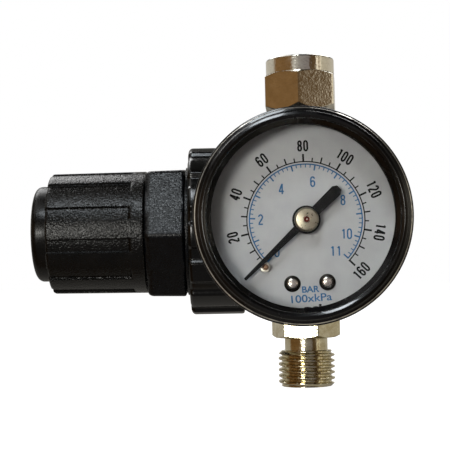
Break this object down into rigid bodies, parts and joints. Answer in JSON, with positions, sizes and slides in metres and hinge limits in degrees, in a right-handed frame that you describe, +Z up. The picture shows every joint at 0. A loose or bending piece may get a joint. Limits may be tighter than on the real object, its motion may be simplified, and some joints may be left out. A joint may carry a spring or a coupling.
{
  "type": "air pressure regulator",
  "caption": "Small in-line air pressure regulator with a fluted adjusting knob, a front dial gauge, a swivel nut inlet above and a male thread outlet below.",
  "frame": {"origin": "on the port axis, at the lower end of the outlet thread's full diameter; the thread's chamfered tip is just below it", "axes": "+Z up the port axis from outlet to inlet; the knob axis runs along X with the knob at -X; the gauge faces -Y"},
  "size_m": [0.0847, 0.0726, 0.0768],
  "materials": {
    "black_plastic": "moulded, fine spark-eroded texture",
    "die_cast": "die-cast, satin black coat",
    "nickel": "nickel-plated brass",
    "brass": "machined",
    "bronze": "drawn phosphor bronze",
    "steel": "machined or drawn",
    "rubber": "moulded",
    "gauge_black": "gloss black enamel",
    "lens_clear": "clear, polished",
    "dial_print": "matt pale grey with printed scale",
    "pointer_black": "matt black"
  },
  "bodies": {
    "housing": {"body": "die_cast", "bonnet": "black_plastic", "clamp_ring": "black_plastic", "diaphragm": "rubber", "main_spring": "steel", "valve_seat": "brass", "valve_spring": "steel", "bottom_plug": "nickel", "plug_o_ring": "rubber", "inlet_washer": "rubber", "inlet_nipple": "nickel", "swivel_ring": "steel", "outlet_washer": "rubber", "outlet_fitting": "nickel", "gauge_socket": "brass", "gauge_case": "gauge_black", "case_screws": "steel", "gauge_bezel": "gauge_black", "gauge_lens": "lens_clear", "lens_gasket": "rubber", "gauge_dial": "dial_print", "zero_stop_pin": "brass", "dial_screws": "steel", "dial_posts": "brass", "back_plate": "brass", "front_plate": "brass", "movement_pillars": "brass", "movement_screws": "steel", "bourdon_tube": "bronze", "hairspring": "bronze"},
    "screw": {"adjusting_screw": "steel", "screw_clip": "steel", "thrust_washer": "steel"},
    "knob": {"knob": "black_plastic", "knob_cap": "black_plastic"},
    "spring_nut": {"spring_nut": "steel"},
    "diaphragm_stack": {"spring_plate": "steel", "diaphragm_hub": "steel"},
    "valve": {"valve_stem": "steel", "valve_pad": "rubber", "valve_poppet": "brass"},
    "inlet_nut": {"inlet_nut": "nickel"},
    "sector": {"sector_gear": "brass", "sector_arbor": "steel"},
    "pointer": {"pinion": "brass", "pointer": "pointer_black", "pointer_hub": "brass"},
    "tube_tip": {"tube_tip": "brass", "link": "brass"}
  },
  "joints": [
    {"name": "knob_turn", "type": "hinge", "parent": "housing", "child": "screw", "pos_m": [-0.045, 0, 0.0359], "axis": [1, 0, 0], "range_deg": [0, 1800]},
    {"name": "knob_pull", "type": "slide", "parent": "screw", "child": "knob", "axis": [-1, 0, 0], "range_m": [0, 0.0025]},
    {"name": "spring_nut_travel", "type": "slide", "parent": "housing", "child": "spring_nut", "axis": [1, 0, 0], "range_m": [0, 0.005], "deforming": ["main_spring"]},
    {"name": "diaphragm_stroke", "type": "slide", "parent": "housing", "child": "diaphragm_stack", "axis": [1, 0, 0], "range_m": [0, 0.0008], "stiffness_N_per_m": 1500, "deforming": ["diaphragm"]},
    {"name": "valve_lift", "type": "slide", "parent": "housing", "child": "valve", "axis": [1, 0, 0], "range_m": [0, 0.0008], "deforming": ["valve_spring"]},
    {"name": "inlet_swivel", "type": "hinge", "parent": "housing", "child": "inlet_nut", "pos_m": [0, 0, 0.0699], "axis": [0, 0, 1], "continuous": true},
    {"name": "sector_turn", "type": "hinge", "parent": "housing", "child": "sector", "pos_m": [-0.00215, -0.039, 0.0241], "axis": [0, -1, 0], "range_deg": [0, 31.3]},
    {"name": "pointer_turn", "type": "hinge", "parent": "housing", "child": "pointer", "pos_m": [-0.00215, -0.046, 0.0355], "axis": [0, 1, 0], "range_deg": [0, 266.1], "deforming": ["hairspring"]},
    {"name": "tube_tip_travel", "type": "slide", "parent": "housing", "child": "tube_tip", "axis": [-0.5, 0, -0.866], "range_m": [0, 0.00217], "stiffness_N_per_m": 500, "deforming": ["bourdon_tube"]}
  ],
  "couplings": [
    {"joint": "spring_nut_travel", "follows": "knob_turn", "m_per_rad": 0.00015915},
    {"joint": "valve_lift", "follows": "diaphragm_stroke", "ratio": 1},
    {"joint": "pointer_turn", "follows": "sector_turn", "ratio": 8.5},
    {"joint": "tube_tip_travel", "follows": "sector_turn", "m_per_rad": 0.0039505}
  ]
}
